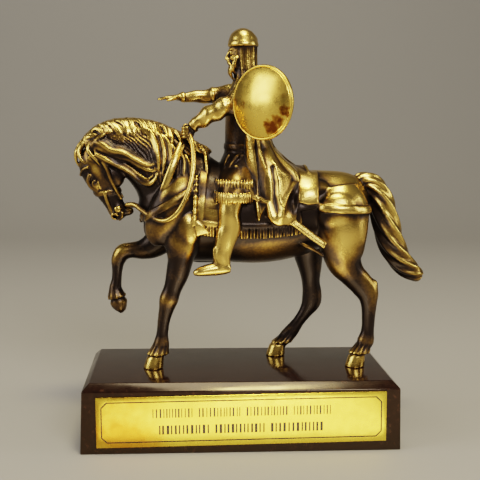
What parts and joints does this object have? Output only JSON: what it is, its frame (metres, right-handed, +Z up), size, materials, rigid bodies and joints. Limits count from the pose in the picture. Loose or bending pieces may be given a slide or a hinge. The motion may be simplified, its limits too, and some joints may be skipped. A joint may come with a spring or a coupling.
{
  "type": "equestrian statuette",
  "caption": "Cast brass horse and helmeted rider with a round shield, standing on a dark polished stone plinth with a brass plaque.",
  "frame": {"origin": "centre of the plinth's underside", "axes": "+Z up; the horse faces -X; the plaque and the horse's left side face -Y"},
  "size_m": [0.212, 0.0881, 0.24],
  "materials": {
    "stone": "mirror-polished near-black brown stone",
    "plaque_brass": "polished sheet brass with dark-filled engraved lines",
    "cast_brass": "cast brass with a dark brown patina in the hollows and polished high spots",
    "shield_brass": "mirror-polished brass"
  },
  "bodies": {
    "root": {"plinth": "stone", "plaque": "plaque_brass", "horse_and_rider": "cast_brass", "shield": "shield_brass"}
  },
  "joints": []
}
